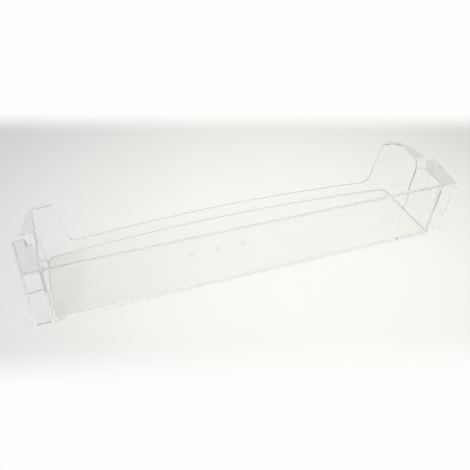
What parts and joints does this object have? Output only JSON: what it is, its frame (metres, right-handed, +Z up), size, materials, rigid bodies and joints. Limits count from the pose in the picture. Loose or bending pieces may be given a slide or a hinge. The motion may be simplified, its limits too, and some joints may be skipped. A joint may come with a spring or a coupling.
{
  "type": "refrigerator door shelf",
  "caption": "Clear moulded refrigerator door shelf: long tray with a tall front wall, low bowed rear rail, raised rear ears, top flanges and a hollow hanging pocket at each end.",
  "frame": {"origin": "middle of the length and of the depth, at the underside of the tray", "axes": "+X along the length of the shelf, +Y from the tall front wall towards the door, +Z up"},
  "size_m": [0.4878, 0.102, 0.073],
  "materials": {
    "clear_plastic": "clear polished polystyrene"
  },
  "bodies": {
    "root": {"door_shelf": "clear_plastic"}
  },
  "joints": []
}
